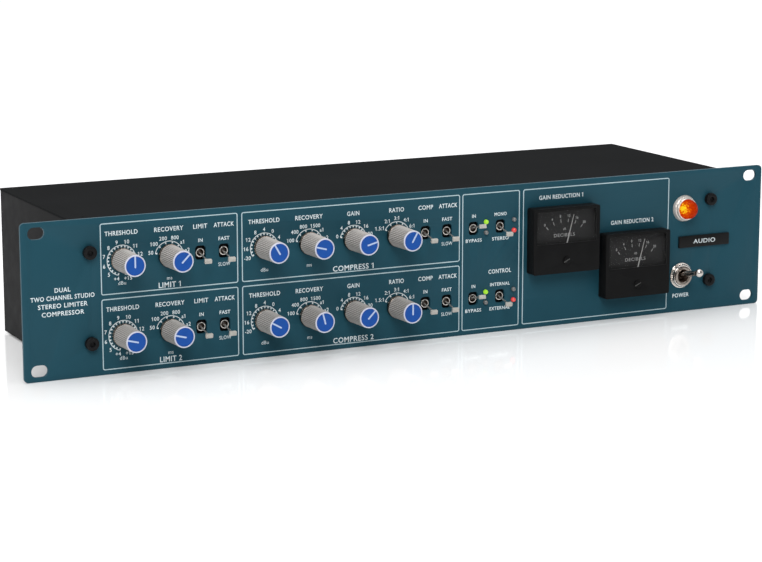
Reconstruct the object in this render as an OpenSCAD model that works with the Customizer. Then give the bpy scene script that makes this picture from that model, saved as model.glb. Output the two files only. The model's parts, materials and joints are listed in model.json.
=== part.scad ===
// Two-channel rack compressor, 19 inch wide and two units high.
// +X is to the right seen from the front, +Y is towards the back, +Z is up.
// The origin is the centre of the four rack slots, on the panel's rear face.

/* [Front panel] */
// Width of the panel over the rack ears
panel_w = 482.6; // [482:0.1:483]
// Height of a two-unit panel
panel_h = 88.1; // [87.8:0.1:88.4]
// Thickness of the panel
panel_t = 2; // [1.5:0.5:3]
// Corner radius of the panel
panel_corner_r = 2.5; // [1:0.5:4]
// Distance between the left and right rack slots
slot_pitch_x = 465.1; // [465:0.1:465.2]
// Distance between the upper and lower rack slots
slot_pitch_z = 76.2; // [76:0.1:76.4]
// Height of a rack slot
slot_h = 6.8; // [6.5:0.1:7]
// End-to-end length of a rack slot
slot_len = 9.6; // [8:0.1:10]

/* [Case] */
// Width of the case behind the panel
case_w = 423; // [420:1:426]
// Depth of the case behind the panel
case_d = 126.6; // [120:0.2:180]
// Height of the case, cover included
case_h = 86; // [84:0.5:87]
// Thickness of the sheet metal
sheet_t = 1.2; // [1:0.1:1.6]
// Width of the flanges folded in along the top and front edges
flange_w = 14; // [12:1:16]

/* [Control rows] */
// Height of the channel 1 row above the panel's centre line
row_1_z = 19.8; // [18:0.1:21]
// Height of the channel 2 row above the panel's centre line
row_2_z = -22.4; // [-24:0.1:-21]
// Distance between neighbouring knobs
knob_pitch = 27.94; // [26:0.01:30]
// Position of the first limiter knob
limit_x = -184; // [-185:0.5:-183]
// Position of the first compressor knob
compress_x = -98.7; // [-99:0.1:-98]
// Distance from the last limiter knob to the first lever switch
limit_switch_gap = 18.7; // [18:0.1:19]
// Distance from the last compressor knob to the first lever switch
compress_switch_gap = 19; // [18:0.1:20]
// Distance between the two levers of a pair
switch_pitch = 14.2; // [14:0.1:15]
// Position of the bypass levers
bypass_x = 36.1; // [35:0.1:37]
// Position of the stereo and external control levers
mode_x = 54.2; // [53:0.1:55]

/* [Knobs] */
// Height of a knob above the panel's face
knob_h = 21.3; // [18:0.1:24]
// Diameter of the metal collar at the foot of a knob
knob_collar_d = 13.4; // [13:0.1:14]
// Diameter of a knob's grip just above its collar
knob_base_d = 12.8; // [12.4:0.1:13]
// Diameter of a knob at its front
knob_front_d = 12.1; // [11.8:0.1:12.5]
// Diameter of the coloured disc in a knob's front
knob_cap_d = 10.6; // [10:0.1:11]
// Diameter of a control's shaft
shaft_d = 6; // [5:0.5:6]

/* [Lever switches] */
// Width of a lever's cut-out in the panel
lever_hole_w = 6.5; // [6:0.1:7]
// Height of a lever's cut-out in the panel
lever_hole_h = 8.1; // [7.5:0.1:8.5]
// Tilt of a lever from straight out, up or down
lever_tilt = 12.3; // [10:0.1:14]
// Length of a lever from its pivot to the end of its tip
lever_len = 15; // [14:0.1:17]

/* [Meters] */
// Width of a meter's case
meter_w = 45.8; // [44:0.1:47]
// Height of a meter's case
meter_h = 39.8; // [38:0.1:41]
// How far a meter's case stands out of the panel
meter_out = 8.2; // [8:0.1:10]
// Position of the first meter's centre
meter_1_x = 95.4; // [94:0.1:97]
// Height of the first meter's centre
meter_1_z = 9.4; // [8:0.1:11]
// Distance across from the first meter to the second
meter_step_x = 50.7; // [48:0.1:51]
// Drop from the first meter to the second
meter_step_z = 19.1; // [18:0.1:20]
// Reading of both needles at rest, in degrees from straight up
needle_rest = 15; // [-30:1:30]

/* [Power] */
// Position of the power lever
power_x = 182.7; // [182:0.1:184]
// Height of the power lever
power_z = -21.1; // [-23:0.1:-20]
// Tilt of the power lever from straight out
power_tilt = 12.5; // [11:0.1:15]
// Position of the pilot lamp
lamp_x = 184.2; // [183:0.1:186]
// Height of the pilot lamp
lamp_z = 20.8; // [19:0.1:22]

/* [Rear] */
// Positions of the two input sockets
input_x = [-172, -88];
// Positions of the two output sockets
output_x = [-136, -52];
// Positions of the two control jacks
jack_x = [0, 36];
// Position of the mains inlet
inlet_x = 166; // [150:1:170]

/* [Hidden] */
$fn = 48;
gap = 0.05;
front_y = -panel_t;
case_low_z = -case_h / 2 + 0.3;
case_top_z = case_low_z + case_h;
tray_top_z = case_top_z - sheet_t;
bolt_x = 202.8;
bolt_z = 25.4;

// Each control is [name, x, z, pointer angle at rest], clockwise from straight up.
CONTROLS = [
    ["limit_1_threshold_knob", limit_x, row_1_z, 0],
    ["limit_1_recovery_knob", limit_x + knob_pitch, row_1_z, 45],
    ["compress_1_threshold_knob", compress_x, row_1_z, -30],
    ["compress_1_recovery_knob", compress_x + knob_pitch, row_1_z, -75],
    ["compress_1_gain_knob", compress_x + 2 * knob_pitch, row_1_z, 75],
    ["compress_1_ratio_knob", compress_x + 3 * knob_pitch, row_1_z, 30],
    ["limit_2_threshold_knob", limit_x, row_2_z, -75],
    ["limit_2_recovery_knob", limit_x + knob_pitch, row_2_z, -75],
    ["compress_2_threshold_knob", compress_x, row_2_z, -60],
    ["compress_2_recovery_knob", compress_x + knob_pitch, row_2_z, -15],
    ["compress_2_gain_knob", compress_x + 2 * knob_pitch, row_2_z, 45],
    ["compress_2_ratio_knob", compress_x + 3 * knob_pitch, row_2_z, 0],
];

limit_in_x = limit_x + knob_pitch + limit_switch_gap;
comp_in_x = compress_x + 3 * knob_pitch + compress_switch_gap;

// Each lever is [name, x, z, side], where side is 1 for up and -1 for down.
LEVERS = [
    ["limit_1_in_lever", limit_in_x, row_1_z, -1],
    ["limit_1_attack_lever", limit_in_x + switch_pitch, row_1_z, -1],
    ["compress_1_in_lever", comp_in_x, row_1_z, -1],
    ["compress_1_attack_lever", comp_in_x + switch_pitch, row_1_z, -1],
    ["bypass_1_lever", bypass_x, row_1_z, 1],
    ["stereo_lever", mode_x, row_1_z, -1],
    ["limit_2_in_lever", limit_in_x, row_2_z, -1],
    ["limit_2_attack_lever", limit_in_x + switch_pitch, row_2_z, -1],
    ["compress_2_in_lever", comp_in_x, row_2_z, -1],
    ["compress_2_attack_lever", comp_in_x + switch_pitch, row_2_z, -1],
    ["bypass_2_lever", bypass_x, row_2_z, 1],
    ["external_lever", mode_x, row_2_z, -1],
];

METERS = [
    ["meter_1_needle", "meter_1_adjuster", meter_1_x, meter_1_z],
    ["meter_2_needle", "meter_2_adjuster", meter_1_x + meter_step_x, meter_1_z - meter_step_z],
];

LATCHES = [["input_1_latch", input_x[0]], ["input_2_latch", input_x[1]]];

// Placing: local +Z points out of the panel's face, or out of the rear wall.

module on_panel(x, z) {
    translate([x, front_y, z]) rotate([90, 0, 0]) children();
}

module on_rear(x, z) {
    translate([x, case_d, z]) rotate([90, 0, 180]) children();
}

module at_corners(dx, dz) {
    for (sx = [-1, 1], sz = [-1, 1]) translate([sx * dx, sz * dz, 0]) children();
}

// A flat outline with round corners, made of exact arcs.
module round_rect(w, h, r) {
    square([w - 2 * r, h], center = true);
    square([w, h - 2 * r], center = true);
    at_corners(w / 2 - r, h / 2 - r) circle(r);
}

module slab(w, h, r, low, high) {
    translate([0, 0, low]) linear_extrude(high - low) round_rect(w, h, r);
}

module rod(d, low, high) {
    translate([0, 0, low]) cylinder(d = d, h = high - low);
}

module box(w, h, low, high) {
    translate([-w / 2, -h / 2, low]) cube([w, h, high - low]);
}

// Front panel and case

pot_hole_d = 7.2;
led_d = 2.7;
led_hole_d = led_d + 0.2;
barrel_d = 37;
lamp_hole_d = 12.8;
power_hole_d = 12.2;

function led_spots() = [for (z = [row_1_z, row_2_z]) each [
    [(bypass_x + mode_x) / 2 - 0.8, z + 0.2, 1],
    [mode_x + 9.1, z + 0.2, -1],
]];
led_rise = 3.2;

module front_panel() {
    color([0.165, 0.314, 0.376]) difference() {
        on_panel(0, 0) slab(panel_w, panel_h, panel_corner_r, -panel_t, 0);
        on_panel(0, 0) at_corners(slot_pitch_x / 2, slot_pitch_z / 2)
            slab(slot_len, slot_h, slot_h / 2 - 0.01, -panel_t - 1, 1);
        on_panel(0, 0) at_corners(bolt_x, bolt_z) rod(4.2, -panel_t - 1, 1);
        for (c = CONTROLS) on_panel(c[1], c[2]) rod(pot_hole_d, -panel_t - 1, 1);
        for (v = LEVERS) on_panel(v[1], v[2])
            slab(lever_hole_w, lever_hole_h, 2, -panel_t - 1, 1);
        for (s = led_spots(), k = [-1, 1]) on_panel(s[0], s[1] + k * led_rise)
            rod(led_hole_d, -panel_t - 1, 1);
        for (m = METERS) on_panel(m[2], m[3]) rod(barrel_d + 0.4, -panel_t - 1, 1);
        on_panel(lamp_x, lamp_z) rod(lamp_hole_d, -panel_t - 1, 1);
        on_panel(power_x, power_z) rod(power_hole_d, -panel_t - 1, 1);
    }
}

cover_screw_x = [-202, 0, 204];
cover_screw_y = [9, case_d - 7];
xlr_screw = [9.5, 12];
inlet_screw = 20;

module chassis_tray() {
    color([0.24, 0.24, 0.25]) difference() {
        translate([-case_w / 2, 0, case_low_z]) cube([case_w, case_d, tray_top_z - case_low_z]);
        translate([-case_w / 2 + sheet_t, sheet_t, case_low_z + sheet_t])
            cube([case_w - 2 * sheet_t, case_d - 2 * sheet_t, tray_top_z - case_low_z - 2 * sheet_t]);
        translate([-case_w / 2 + flange_w, flange_w, 0])
            cube([case_w - 2 * flange_w, case_d - 2 * flange_w, case_h]);
        translate([-case_w / 2 + flange_w, -1, case_low_z + 5])
            cube([case_w - 2 * flange_w, 3, case_h - 10 - sheet_t]);
        on_panel(0, 0) at_corners(bolt_x, bolt_z) rod(4.2, -panel_t - 3, 1);
        for (x = cover_screw_x, y = cover_screw_y) translate([x, y, 0]) cylinder(d = 3.4, h = case_h);
        for (x = concat(input_x, output_x)) on_rear(x, 0) {
            rod(24.2, -3, 1);
            for (s = [-1, 1]) translate([s * xlr_screw[0], s * xlr_screw[1], 0]) rod(3.4, -3, 1);
        }
        for (x = jack_x) on_rear(x, 0) rod(9.6, -3, 1);
        on_rear(inlet_x, 0) {
            box(28.4, 20.4, -3, 1);
            for (s = [-1, 1]) translate([s * inlet_screw, 0, 0]) rod(3.4, -3, 1);
        }
    }
}

// The cover is a touch wider than the tray, which leaves a shadow line under its edge.
module top_cover() {
    color([0.15, 0.15, 0.15]) difference() {
        translate([-case_w / 2 - 0.3, 0, tray_top_z]) cube([case_w + 0.6, case_d, sheet_t]);
        for (x = cover_screw_x, y = cover_screw_y) translate([x, y, tray_top_z]) {
            translate([0, 0, -1]) cylinder(d = 3.4, h = 4);
            translate([0, 0, sheet_t - 0.9]) cylinder(d1 = 3.4, d2 = 6.2, h = 1);
        }
    }
}

// Socket head screws that hold the panel to the case.
module panel_screws() {
    color([0.06, 0.06, 0.06]) on_panel(0, 0) at_corners(bolt_x, bolt_z) difference() {
        union() {
            rod(7.6, 0, 3);
            rod(4, -9, 0.5);
        }
        translate([0, 0, 1.2]) cylinder(d = 3.46, h = 3, $fn = 6);
    }
}

module countersunk_screw() {
    difference() {
        union() {
            translate([0, 0, -0.85]) cylinder(d1 = 3.2, d2 = 5.9, h = 0.85);
            rod(3, -6, -0.4);
        }
        for (a = [0, 90]) rotate(a) box(2.6, 0.6, -0.6, 1);
    }
}

module pan_screw() {
    difference() {
        union() {
            rod(5.4, 0, 1.8);
            rod(3, -7, 0.5);
        }
        for (a = [0, 90]) rotate(a) box(3, 0.7, 0.9, 3);
    }
}

xlr_flange_t = 3;
inlet_flange_t = 2.5;

module chassis_screws() {
    color([0.08, 0.08, 0.08]) {
        for (x = cover_screw_x, y = cover_screw_y) translate([x, y, case_top_z]) countersunk_screw();
        for (x = concat(input_x, output_x), s = [-1, 1])
            on_rear(x - s * xlr_screw[0], s * xlr_screw[1]) translate([0, 0, xlr_flange_t]) pan_screw();
        for (s = [-1, 1]) on_rear(inlet_x + s * inlet_screw, 0) translate([0, 0, inlet_flange_t]) pan_screw();
    }
}

// Controls behind the panel

board_y = 12;
board_t = 1.6;
pot_d = 16;
pot_depth = 9.5;
pot_bush_d = 7;

module control_pots() {
    color([0.55, 0.55, 0.56]) for (c = CONTROLS) on_panel(c[1], c[2]) difference() {
        union() {
            rod(pot_d, -panel_t - pot_depth, -panel_t);
            rod(pot_bush_d, -panel_t - 1, 3.2);
            for (dx = [-5, 0, 5]) translate([dx, -5, 0])
                rod(0.8, -panel_t - board_y, -panel_t - pot_depth + 0.5);
        }
        rod(shaft_d + 2 * gap, -panel_t - pot_depth + 2, 4);
    }
}

module pot_nuts() {
    color([0.75, 0.75, 0.76]) for (c = CONTROLS) on_panel(c[1], c[2]) difference() {
        cylinder(d = 11.2, h = 2, $fn = 6);
        rod(pot_bush_d + 2 * gap, -1, 3);
    }
}

lever_pivot_y = 0.9;
bushing_low = 0.7;

module toggle_switches() {
    color([0.62, 0.62, 0.63]) for (v = LEVERS) on_panel(v[1], v[2]) difference() {
        union() {
            box(7, 12.6, -panel_t - 10, -panel_t - 0.2);
            rod(5, -panel_t - 0.5, -bushing_low);
            for (dz = [-4.7, 0, 4.7]) translate([0, dz, 0]) rod(0.9, -panel_t - board_y, -panel_t - 9.5);
        }
        rod(4, -panel_t - 3.2, 1);
    }
}

module control_board() {
    color([0.1, 0.32, 0.18]) translate([-192, board_y, -38]) cube([264, board_t, 74]);
}

module led(x, z) {
    on_panel(x, z) {
        rod(led_d, -panel_t - 2, 0.6);
        translate([0, 0, 0.6]) intersection() {
            sphere(d = led_d);
            box(4, 4, -0.2, 2);
        }
        rod(3.8, -panel_t - 3, -panel_t - 1.9);
        for (dx = [-1.27, 1.27]) translate([dx, 0, 0]) rod(0.6, -panel_t - board_y, -panel_t - 2.9);
    }
}

module leds_green() {
    color([0.35, 0.95, 0.45]) for (s = led_spots()) if (s[2] > 0) led(s[0], s[1] + led_rise);
}

module leds_red() {
    color([1, 0.15, 0.12]) for (s = led_spots()) if (s[2] < 0) led(s[0], s[1] - led_rise);
}

module leds_unlit() {
    color([0.6, 0.58, 0.56]) for (s = led_spots()) led(s[0], s[1] - s[2] * led_rise);
}

// Knob: a collar and a tapered grip over the nut, a disc, a pointer bar and the shaft.
knob_clear = 0.4;
knob_collar_h = 2.9;
knob_rim_h = 0.4;
pointer_tail = 1.2;

module knob(c) {
    on_panel(c[1], c[2]) rotate(-c[3]) {
        color([0.63, 0.61, 0.6]) difference() {
            union() {
                rod(knob_collar_d, knob_clear, knob_collar_h);
                translate([0, 0, knob_collar_h - 0.5])
                    cylinder(d1 = knob_base_d, d2 = knob_front_d, h = knob_h - knob_collar_h + 0.5);
            }
            rod(knob_base_d - 1, 0, 4);
            rod(shaft_d + 2 * gap, 0, knob_h - 3);
            rod(knob_cap_d, knob_h - 1, knob_h + 1);
        }
        color([0.15, 0.33, 0.67]) rod(knob_cap_d - 2 * gap, knob_h - 1 + gap, knob_h - knob_rim_h);
        color([0.93, 0.93, 0.92]) translate([-0.45, -pointer_tail, knob_h - knob_rim_h + 0.02])
            cube([0.9, knob_cap_d / 2 - 0.2 + pointer_tail, 0.3]);
        color([0.7, 0.7, 0.7]) rod(shaft_d, -panel_t - pot_depth + 2.2, knob_h - 3 - gap);
    }
}

// A short pin across the ball of a lever, which it turns on.
module cross_pin(d, w) {
    rotate([0, 90, 0]) cylinder(d = d, h = w, center = true);
}

// Lever: a ball in the bushing, a thin stem and a small broad tip with ribs down its end.
module lever(v) {
    translate([v[1], lever_pivot_y, v[2]]) rotate([90 - v[3] * lever_tilt, 0, 0]) {
        color([0.7, 0.7, 0.7]) {
            sphere(d = 3.6);
            cross_pin(1.2, 3.8);
            rod(1, 0, lever_len - 1);
        }
        color([0.85, 0.84, 0.8]) difference() {
            slab(4.1, 2.4, 0.3, lever_len - 1.5, lever_len);
            for (k = [-2 : 2]) translate([k * 0.7, 0, lever_len - 0.15]) box(0.25, 4, 0, 1);
        }
    }
}

// Meters

window_w = 41.2;
window_h = 19.8;
window_z = 8.1;
pivot_z = -7.9;
adjuster_z = -12.3;
dial_out = 5;
glass_low = meter_out - 1.8;
glass_high = meter_out - 1;
barrel_floor = -panel_t - 13.8;

module meter_cases() {
    color([0.09, 0.09, 0.09]) for (m = METERS) on_panel(m[2], m[3]) difference() {
        union() {
            slab(meter_w, meter_h, 1.2, 0, meter_out);
            rod(barrel_d, -panel_t - 15, 0.5);
        }
        slab(meter_w - 2.4, meter_h - 2.4, 0.6, 1.2, glass_high);
        rod(barrel_d - 2.4, barrel_floor, 2);
        translate([0, window_z, 0]) slab(window_w, window_h, 0.6, 2, meter_out + 1);
        translate([0, adjuster_z, 0]) rod(3.2, 2, meter_out + 1);
    }
}

// The printed scale plate, with the magnet of the movement behind it.
module meter_dials() {
    for (m = METERS) on_panel(m[2], m[3]) {
        color([0.2, 0.2, 0.21]) difference() {
            slab(meter_w - 2.6, meter_h - 2.6, 0.5, dial_out - 0.5, dial_out);
            translate([0, pivot_z, 0]) rod(4, 0, dial_out + 1);
            translate([0, adjuster_z, 0]) rod(4.5, 0, dial_out + 1);
        }
        color([0.45, 0.45, 0.46]) translate([0, pivot_z, 0]) difference() {
            rod(18, barrel_floor, dial_out - 0.6);
            rod(13, -11, dial_out);
        }
    }
}

// Each window has a thin rim that is caught behind the case's front.
module meter_windows() {
    color([0.8, 0.85, 0.87, 0.3]) for (m = METERS) on_panel(m[2], m[3]) translate([0, window_z, 0]) {
        slab(window_w + 1.4, window_h + 1, 1, glass_low, glass_high);
        slab(window_w - 2 * gap, window_h - 2 * gap, 0.55, glass_low, meter_out - 0.4);
    }
}

needle_len = 23.6;

// The needle: a tapered pointer on a staff, with a short tail and the coil on the staff.
module meter_needle(m) {
    on_panel(m[2], m[3]) translate([0, pivot_z, 0]) rotate(-needle_rest) {
        color([0.93, 0.93, 0.93]) translate([0, 0, dial_out + 0.5]) linear_extrude(0.3)
            polygon([[-0.4, -2.2], [0.4, -2.2], [0.45, 0], [0.15, needle_len], [-0.15, needle_len], [-0.45, 0]]);
        color([0.6, 0.6, 0.6]) {
            rod(0.9, -11 + gap, dial_out + 1);
            rod(2.4, dial_out + 0.3, dial_out + 1);
        }
        color([0.7, 0.4, 0.2]) box(8, 6, -9, -1);
    }
}

// The zero adjuster: a slotted head outside the case and a short pin inside.
module meter_adjuster(m) {
    on_panel(m[2], m[3]) translate([0, adjuster_z, 0]) color([0.12, 0.12, 0.12]) difference() {
        union() {
            rod(4.4, meter_out + 0.1, meter_out + 0.9);
            rod(3, dial_out - 0.8, meter_out + 0.3);
            translate([0.9, 0, 0]) rod(0.8, dial_out - 3, dial_out);
        }
        rotate(25) box(6, 0.8, meter_out + 0.4, meter_out + 2);
    }
}

// Pilot lamp

bezel_d = 16.6;
bezel_out = 4;
jewel_d = 12.3;
jewel_rim = bezel_out + 0.4;

module lamp_bezel() {
    color([0.8, 0.8, 0.8]) on_panel(lamp_x, lamp_z) difference() {
        union() {
            cylinder(d1 = bezel_d, d2 = jewel_d + 1.1, h = bezel_out);
            rod(lamp_hole_d - 0.2, -panel_t - 16, 0.5);
            translate([0, 0, -panel_t - 2.4]) cylinder(d = 17, h = 2.3, $fn = 6);
        }
        rod(jewel_d - 1.2, -panel_t - 15, 2);
        rod(jewel_d + 2 * gap, 1, bezel_out + 1);
    }
}

module lamp_jewel() {
    color([1, 0.5, 0.08]) on_panel(lamp_x, lamp_z) {
        rod(jewel_d, 1.1, jewel_rim);
        translate([0, 0, jewel_rim]) intersection() {
            sphere(d = jewel_d);
            box(jewel_d + 1, jewel_d + 1, -0.1, jewel_d);
        }
    }
}

module pilot_bulb() {
    color([0.9, 0.85, 0.7]) on_panel(lamp_x, lamp_z) {
        translate([0, 0, -3]) sphere(d = 6);
        rod(5, -14, -4);
        rod(9, -panel_t - 15, -13);
    }
}

// Power switch

module power_switch() {
    color([0.3, 0.3, 0.3]) on_panel(power_x, power_z) difference() {
        union() {
            box(17, 28, -panel_t - 22, -panel_t - 0.2);
            rod(12, -panel_t - 0.5, 3.9);
            for (dz = [-9, 0, 9]) translate([0, dz, 0]) box(6.3, 0.8, -panel_t - 30, -panel_t - 21);
        }
        rod(7.6, -panel_t - 6, 5);
        translate([0, 0, 3.2]) cylinder(d1 = 7.6, d2 = 9.6, h = 1);
    }
}

module power_switch_nut() {
    color([0.8, 0.8, 0.8]) on_panel(power_x, power_z) {
        difference() {
            rod(15.8, 0, 0.8);
            rod(12.1, -1, 2);
        }
        difference() {
            union() {
                rod(14.4, 0.85, 2.3);
                translate([0, 0, 2.3]) cylinder(d1 = 14.4, d2 = 13.2, h = 0.7);
            }
            rod(12.1, 0, 4);
        }
    }
}

power_len = 22.6;

module power_lever() {
    translate([power_x, 0, power_z]) rotate([90 - power_tilt, 0, 0]) color([0.85, 0.85, 0.85]) {
        sphere(d = 7);
        cross_pin(1.6, 7.3);
        cylinder(d1 = 4, d2 = 3.3, h = power_len - 1);
        translate([0, 0, power_len]) sphere(d = 5.2);
    }
}

module nameplate() {
    color([0.05, 0.05, 0.05]) on_panel(198.8, -0.25) slab(37, 7.2, 0.4, 0, 1.4);
}

// Inside the case

board_low_z = case_low_z + sheet_t + 6;
standoff_x = [-188, -70, 48];
standoff_y = [26, 100];

module main_board() {
    color([0.1, 0.32, 0.18]) difference() {
        translate([-196, 18, board_low_z]) cube([252, 90, board_t]);
        for (x = standoff_x, y = standoff_y) translate([x, y, board_low_z - 1]) cylinder(d = 3.2, h = 4);
    }
}

module board_standoffs() {
    color([0.7, 0.7, 0.7]) for (x = standoff_x, y = standoff_y)
        translate([x, y, case_low_z + sheet_t]) {
            cylinder(d = 6.4, h = 6, $fn = 6);
            cylinder(d = 3, h = 9);
        }
}

module filter_capacitors() {
    color([0.12, 0.14, 0.3]) for (y = [40, 66])
        translate([38, y, board_low_z + board_t]) cylinder(d = 20, h = 34);
}

// A frame transformer: laminated core, winding on the bobbin and two mounting feet.
module mains_transformer() {
    translate([124, 66, case_low_z + sheet_t]) {
        color([0.3, 0.3, 0.3]) difference() {
            translate([-27, -11, 2]) cube([54, 22, 46]);
            for (s = [-1, 1]) translate([s * 13 - 4, -12, 11]) cube([8, 24, 28]);
        }
        color([0.75, 0.6, 0.3]) difference() {
            translate([-16.8, -19, 11.2]) cube([33.6, 38, 27.6]);
            translate([-9.2, -11.2, 11]) cube([18.4, 22.4, 28]);
        }
        color([0.5, 0.5, 0.5]) difference() {
            translate([-38, -9, 0]) cube([76, 18, 1.9]);
            for (s = [-1, 1]) translate([s * 33, 0, -1]) cylinder(d = 4.2, h = 4);
        }
    }
}

// Rear connectors

shell_d = 19;
pin_circle = 4.4;
pin_angles = [20, 160, 270];

module connector_flange() {
    difference() {
        slab(26, 31, 2, 0, xlr_flange_t);
        for (s = [-1, 1]) translate([s * xlr_screw[0], s * xlr_screw[1], 0]) rod(3.2, -1, xlr_flange_t + 1);
    }
}

latch_z = 12.6;

// Three-hole socket with an annular gap for the plug's shell and a pocket for its latch.
module input_sockets() {
    color([0.1, 0.1, 0.1]) for (x = input_x) on_rear(x, 0) {
        difference() {
            union() {
                connector_flange();
                rod(23.8, -20, 1);
            }
            rod(shell_d, -12, xlr_flange_t + 1);
            translate([0, latch_z, 0]) box(7, 3.6, 0.4, xlr_flange_t + 1);
        }
        difference() {
            rod(15, -12.5, xlr_flange_t - 1);
            for (a = pin_angles) rotate(a) translate([pin_circle, 0, 0]) rod(2.6, -10, xlr_flange_t);
        }
    }
}

module input_latch(l) {
    color([0.75, 0.75, 0.75]) on_rear(l[1], 0) translate([0, latch_z, 0]) box(6.6, 3.2, 2.1, xlr_flange_t + 1.5);
}

// Open shell with three pins.
module output_sockets() {
    color([0.1, 0.1, 0.1]) for (x = output_x) on_rear(x, 0) {
        difference() {
            union() {
                connector_flange();
                rod(23.8, -20, 1);
            }
            rod(shell_d, -12, xlr_flange_t + 1);
        }
        for (a = pin_angles) rotate(a) translate([pin_circle, 0, 0]) rod(2.4, -12.5, 1);
    }
}

jack_bore_d = 6.5;
jack_out = 4.5;

module control_jacks() {
    color([0.12, 0.12, 0.12]) for (x = jack_x) on_rear(x, 0) difference() {
        union() {
            box(16, 18, -24, -sheet_t - 0.1);
            rod(9.2, -sheet_t - 0.5, jack_out);
            translate([0, 0, 0.1]) cylinder(d = 14, h = 2.2, $fn = 6);
        }
        rod(jack_bore_d, -20, jack_out + 1);
    }
}

inlet_depth = 16;

module mains_inlet() {
    color([0.07, 0.07, 0.07]) on_rear(inlet_x, 0) {
        difference() {
            union() {
                slab(50, 26, 5, 0, inlet_flange_t);
                box(28, 20, -inlet_depth - 4, 1);
            }
            translate([0, 0, -inlet_depth]) linear_extrude(inlet_depth + 4)
                polygon([[-12, -8], [12, -8], [12, 4.5], [8.5, 8], [-8.5, 8], [-12, 4.5]]);
            for (s = [-1, 1]) translate([s * inlet_screw, 0, 0]) rod(3.2, -1, 4);
        }
        for (p = [[-7, -2], [0, 2], [7, -2]]) translate([p[0], p[1], 0])
            box(2, 4, -inlet_depth - 0.5, inlet_flange_t - 4.6);
    }
}

front_panel();
chassis_tray();
top_cover();
panel_screws();
chassis_screws();
control_pots();
pot_nuts();
toggle_switches();
control_board();
leds_green();
leds_red();
leds_unlit();
meter_cases();
meter_dials();
meter_windows();
lamp_bezel();
lamp_jewel();
pilot_bulb();
power_switch();
power_switch_nut();
nameplate();
main_board();
board_standoffs();
filter_capacitors();
mains_transformer();
mains_inlet();
input_sockets();
output_sockets();
control_jacks();
for (c = CONTROLS) knob(c);
for (v = LEVERS) lever(v);
power_lever();
for (m = METERS) meter_needle(m);
for (m = METERS) meter_adjuster(m);
for (l = LATCHES) input_latch(l);
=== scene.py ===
"""Looks of the rack compressor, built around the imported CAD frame. Metres, row frame."""
import json
import math

import bmesh
import bpy
from mathutils import Matrix, Vector

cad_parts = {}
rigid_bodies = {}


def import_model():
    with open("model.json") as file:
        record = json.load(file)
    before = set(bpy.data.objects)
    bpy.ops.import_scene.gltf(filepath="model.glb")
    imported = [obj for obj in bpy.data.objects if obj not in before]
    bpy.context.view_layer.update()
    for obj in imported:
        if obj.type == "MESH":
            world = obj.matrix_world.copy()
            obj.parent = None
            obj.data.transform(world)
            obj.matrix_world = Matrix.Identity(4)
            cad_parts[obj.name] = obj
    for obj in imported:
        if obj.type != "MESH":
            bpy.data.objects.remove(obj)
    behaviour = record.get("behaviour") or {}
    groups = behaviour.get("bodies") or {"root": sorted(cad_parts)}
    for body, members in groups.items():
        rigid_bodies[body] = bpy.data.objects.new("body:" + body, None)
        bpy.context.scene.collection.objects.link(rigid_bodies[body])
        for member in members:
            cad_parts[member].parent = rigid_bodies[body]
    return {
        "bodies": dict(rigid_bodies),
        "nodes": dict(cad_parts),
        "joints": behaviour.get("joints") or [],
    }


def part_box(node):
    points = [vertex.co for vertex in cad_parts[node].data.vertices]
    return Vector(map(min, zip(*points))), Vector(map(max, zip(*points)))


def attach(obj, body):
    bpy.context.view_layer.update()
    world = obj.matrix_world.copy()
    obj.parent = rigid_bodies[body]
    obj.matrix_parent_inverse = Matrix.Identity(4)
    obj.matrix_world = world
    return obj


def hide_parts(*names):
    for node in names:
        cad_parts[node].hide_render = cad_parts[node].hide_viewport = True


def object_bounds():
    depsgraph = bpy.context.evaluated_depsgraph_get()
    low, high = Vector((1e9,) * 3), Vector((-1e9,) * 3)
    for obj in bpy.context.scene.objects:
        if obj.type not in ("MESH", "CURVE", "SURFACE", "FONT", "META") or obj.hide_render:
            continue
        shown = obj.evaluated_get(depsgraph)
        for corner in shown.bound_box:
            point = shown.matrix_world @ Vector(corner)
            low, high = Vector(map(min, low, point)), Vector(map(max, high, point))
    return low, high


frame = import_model()
CAD_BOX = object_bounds()
# Plain lengths are in millimetres. MM turns them into metres.
MM = 0.001
JOINTS = {j["child"]: j for j in frame["joints"]}
NODES = frame["nodes"]


def node_centre(name):
    low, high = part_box(name)
    return (low + high) / 2


# --- Places, all taken from the frame ---------------------------------------------------------

PANEL_LOW, PANEL_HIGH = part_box("front_panel")
FACE_Y = PANEL_LOW.y
PANEL_BACK_Y = PANEL_HIGH.y
REAR_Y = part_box("chassis_tray")[1].y


def axis_of(body):
    """Where a body's hinge meets the panel's face, as x and z in millimetres."""
    pos = JOINTS[body]["pos_m"]
    return pos[0] / MM, pos[2] / MM


ROW_Z = {row: axis_of(f"limit_{row}_threshold_knob")[1] for row in (1, 2)}
LIMIT_KINDS = ("threshold_knob", "recovery_knob", "in_lever", "attack_lever")
COMP_KINDS = LIMIT_KINDS + ("gain_knob", "ratio_knob")
LIMIT_X = {kind: axis_of(f"limit_1_{kind}")[0] for kind in LIMIT_KINDS}
COMP_X = {kind: axis_of(f"compress_1_{kind}")[0] for kind in COMP_KINDS}
BYPASS_X = axis_of("bypass_1_lever")[0]
MODE_X = axis_of("stereo_lever")[0]
METER_PIVOT = {m: axis_of(f"meter_{m}_needle") for m in (1, 2)}
LAMP = node_centre("lamp_jewel")
POWER_X, POWER_Z = axis_of("power_lever")


# --- Procedural materials ---------------------------------------------------------------------

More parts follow.
